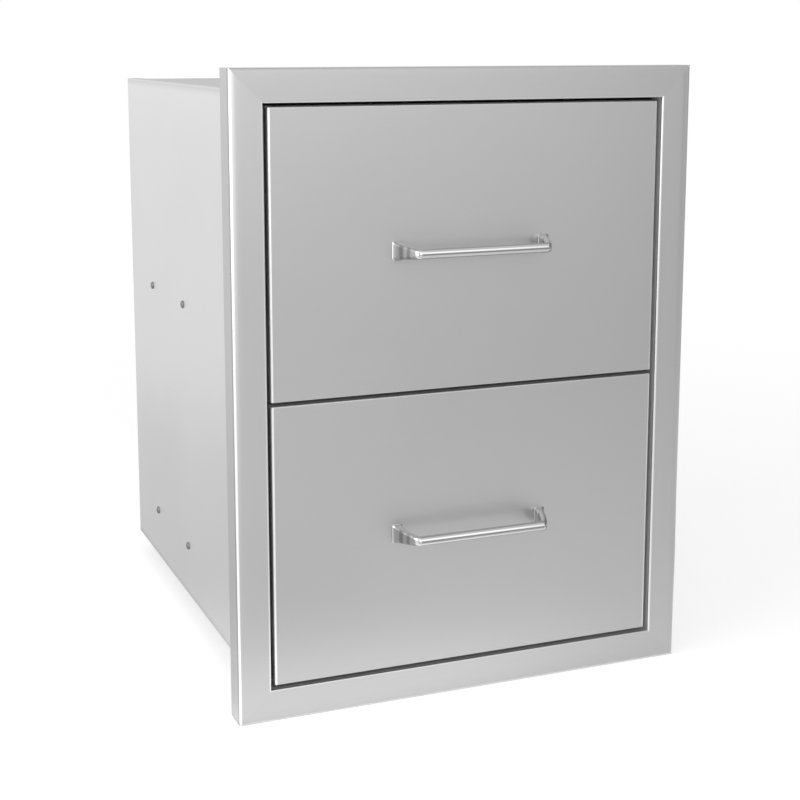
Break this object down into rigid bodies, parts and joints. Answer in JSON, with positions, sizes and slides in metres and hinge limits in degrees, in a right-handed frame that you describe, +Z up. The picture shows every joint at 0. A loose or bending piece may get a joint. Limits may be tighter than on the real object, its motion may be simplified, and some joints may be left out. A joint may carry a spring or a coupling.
{
  "type": "outdoor kitchen drawer unit",
  "caption": "Built-in stainless steel drawer unit: mitred front frame, sheet housing, two equal stacked drawers with bar handles on full-extension ball-bearing slides.",
  "frame": {"origin": "middle of the bottom rail's seating lip, in the plane that rests against the face of the masonry", "axes": "+Z up, front towards -Y, +X to the right seen from the front"},
  "size_m": [0.4826, 0.6058, 0.628],
  "materials": {
    "frame_stainless": "satin",
    "face_stainless": "satin",
    "housing_stainless": "satin",
    "box_stainless": "satin",
    "handle_cast": "polished",
    "handle_bar": "polished",
    "slide_zinc": "satin",
    "screw_steel": "satin",
    "ball_steel": "polished",
    "retainer_steel": "satin",
    "bumper_rubber": "matte"
  },
  "bodies": {
    "housing": {"frame_left_stile": "frame_stainless", "frame_right_stile": "frame_stainless", "frame_top_rail": "frame_stainless", "frame_bottom_rail": "frame_stainless", "housing_left_side": "housing_stainless", "housing_right_side": "housing_stainless", "housing_bottom": "housing_stainless", "housing_top": "housing_stainless", "housing_back": "housing_stainless", "cabinet_slide_screws": "screw_steel", "slide_bumpers": "bumper_rubber", "lower_left_cabinet_member": "slide_zinc", "lower_right_cabinet_member": "slide_zinc", "upper_left_cabinet_member": "slide_zinc", "upper_right_cabinet_member": "slide_zinc"},
    "upper_drawer": {"upper_drawer_face": "face_stainless", "upper_face_liner": "box_stainless", "upper_box_left_side": "box_stainless", "upper_box_right_side": "box_stainless", "upper_box_bottom": "box_stainless", "upper_box_back": "box_stainless", "upper_handle_left_bracket": "handle_cast", "upper_handle_right_bracket": "handle_cast", "upper_handle_bar": "handle_bar", "upper_box_slide_screws": "screw_steel", "upper_handle_screws": "screw_steel", "upper_left_drawer_member": "slide_zinc", "upper_right_drawer_member": "slide_zinc"},
    "upper_slide_middles": {"upper_left_middle_member": "slide_zinc", "upper_right_middle_member": "slide_zinc"},
    "upper_outer_ball_cages": {"upper_outer_retainers": "retainer_steel", "upper_outer_balls": "ball_steel"},
    "upper_inner_ball_cages": {"upper_inner_retainers": "retainer_steel", "upper_inner_balls": "ball_steel"},
    "lower_drawer": {"lower_drawer_face": "face_stainless", "lower_face_liner": "box_stainless", "lower_box_left_side": "box_stainless", "lower_box_right_side": "box_stainless", "lower_box_bottom": "box_stainless", "lower_box_back": "box_stainless", "lower_handle_left_bracket": "handle_cast", "lower_handle_right_bracket": "handle_cast", "lower_handle_bar": "handle_bar", "lower_box_slide_screws": "screw_steel", "lower_handle_screws": "screw_steel", "lower_left_drawer_member": "slide_zinc", "lower_right_drawer_member": "slide_zinc"},
    "lower_slide_middles": {"lower_left_middle_member": "slide_zinc", "lower_right_middle_member": "slide_zinc"},
    "lower_outer_ball_cages": {"lower_outer_retainers": "retainer_steel", "lower_outer_balls": "ball_steel"},
    "lower_inner_ball_cages": {"lower_inner_retainers": "retainer_steel", "lower_inner_balls": "ball_steel"}
  },
  "joints": [
    {"name": "upper_drawer_slide", "type": "slide", "parent": "housing", "child": "upper_drawer", "axis": [0, -1, 0], "range_m": [0, 0.49]},
    {"name": "upper_middle_slide", "type": "slide", "parent": "housing", "child": "upper_slide_middles", "axis": [0, -1, 0], "range_m": [0, 0.245]},
    {"name": "upper_outer_cage_slide", "type": "slide", "parent": "housing", "child": "upper_outer_ball_cages", "axis": [0, -1, 0], "range_m": [0, 0.1225]},
    {"name": "upper_inner_cage_slide", "type": "slide", "parent": "housing", "child": "upper_inner_ball_cages", "axis": [0, -1, 0], "range_m": [0, 0.3675]},
    {"name": "lower_drawer_slide", "type": "slide", "parent": "housing", "child": "lower_drawer", "axis": [0, -1, 0], "range_m": [0, 0.49]},
    {"name": "lower_middle_slide", "type": "slide", "parent": "housing", "child": "lower_slide_middles", "axis": [0, -1, 0], "range_m": [0, 0.245]},
    {"name": "lower_outer_cage_slide", "type": "slide", "parent": "housing", "child": "lower_outer_ball_cages", "axis": [0, -1, 0], "range_m": [0, 0.1225]},
    {"name": "lower_inner_cage_slide", "type": "slide", "parent": "housing", "child": "lower_inner_ball_cages", "axis": [0, -1, 0], "range_m": [0, 0.3675]}
  ],
  "couplings": [
    {"joint": "upper_middle_slide", "follows": "upper_drawer_slide", "ratio": 0.5},
    {"joint": "upper_outer_cage_slide", "follows": "upper_drawer_slide", "ratio": 0.25},
    {"joint": "upper_inner_cage_slide", "follows": "upper_drawer_slide", "ratio": 0.75},
    {"joint": "lower_middle_slide", "follows": "lower_drawer_slide", "ratio": 0.5},
    {"joint": "lower_outer_cage_slide", "follows": "lower_drawer_slide", "ratio": 0.25},
    {"joint": "lower_inner_cage_slide", "follows": "lower_drawer_slide", "ratio": 0.75}
  ]
}
